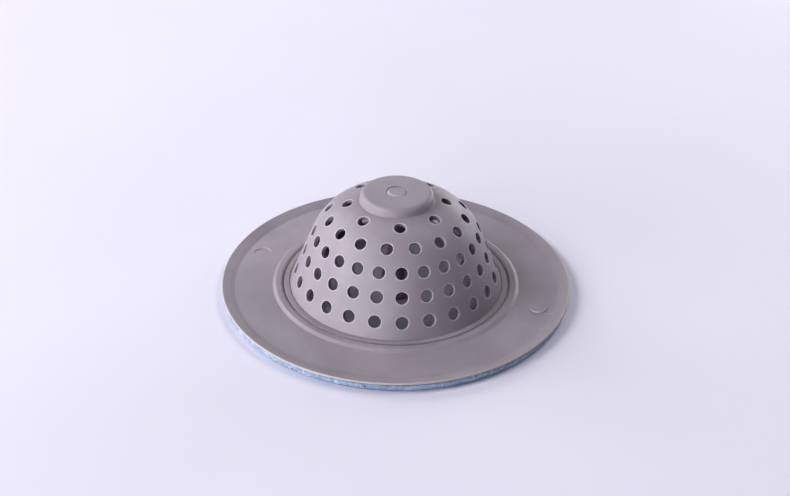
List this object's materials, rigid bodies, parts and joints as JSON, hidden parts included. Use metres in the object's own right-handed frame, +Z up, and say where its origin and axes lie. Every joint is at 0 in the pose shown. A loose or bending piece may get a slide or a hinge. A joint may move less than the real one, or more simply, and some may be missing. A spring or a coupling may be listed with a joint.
{
  "type": "sink strainer",
  "caption": "Soft perforated bowl with a wide flange and a central lift post, seated on a rigid rim ring, that catches scraps in a kitchen sink's drain.",
  "frame": {"origin": "on the strainer's axis, in the face that the rim ring stands on", "axes": "+Z up along the axis, from the ring to the boss on the bowl's crown, as pictured; in a drain the strainer is turned over; -Y is the pictured front"},
  "size_m": [0.113, 0.113, 0.035],
  "materials": {
    "soft_moulding": "satin grey soft plastic with a fine moulded skin",
    "rigid_ring": "pale blue plastic with light and dark plant fibre flecks"
  },
  "bodies": {
    "ring": {"rim_ring": "rigid_ring"},
    "bowl": {"strainer_bowl": "soft_moulding"}
  },
  "joints": [
    {"name": "bowl_lift", "type": "slide", "parent": "ring", "child": "bowl", "axis": [0, 0, 1], "range_m": [0, 0.03]}
  ]
}
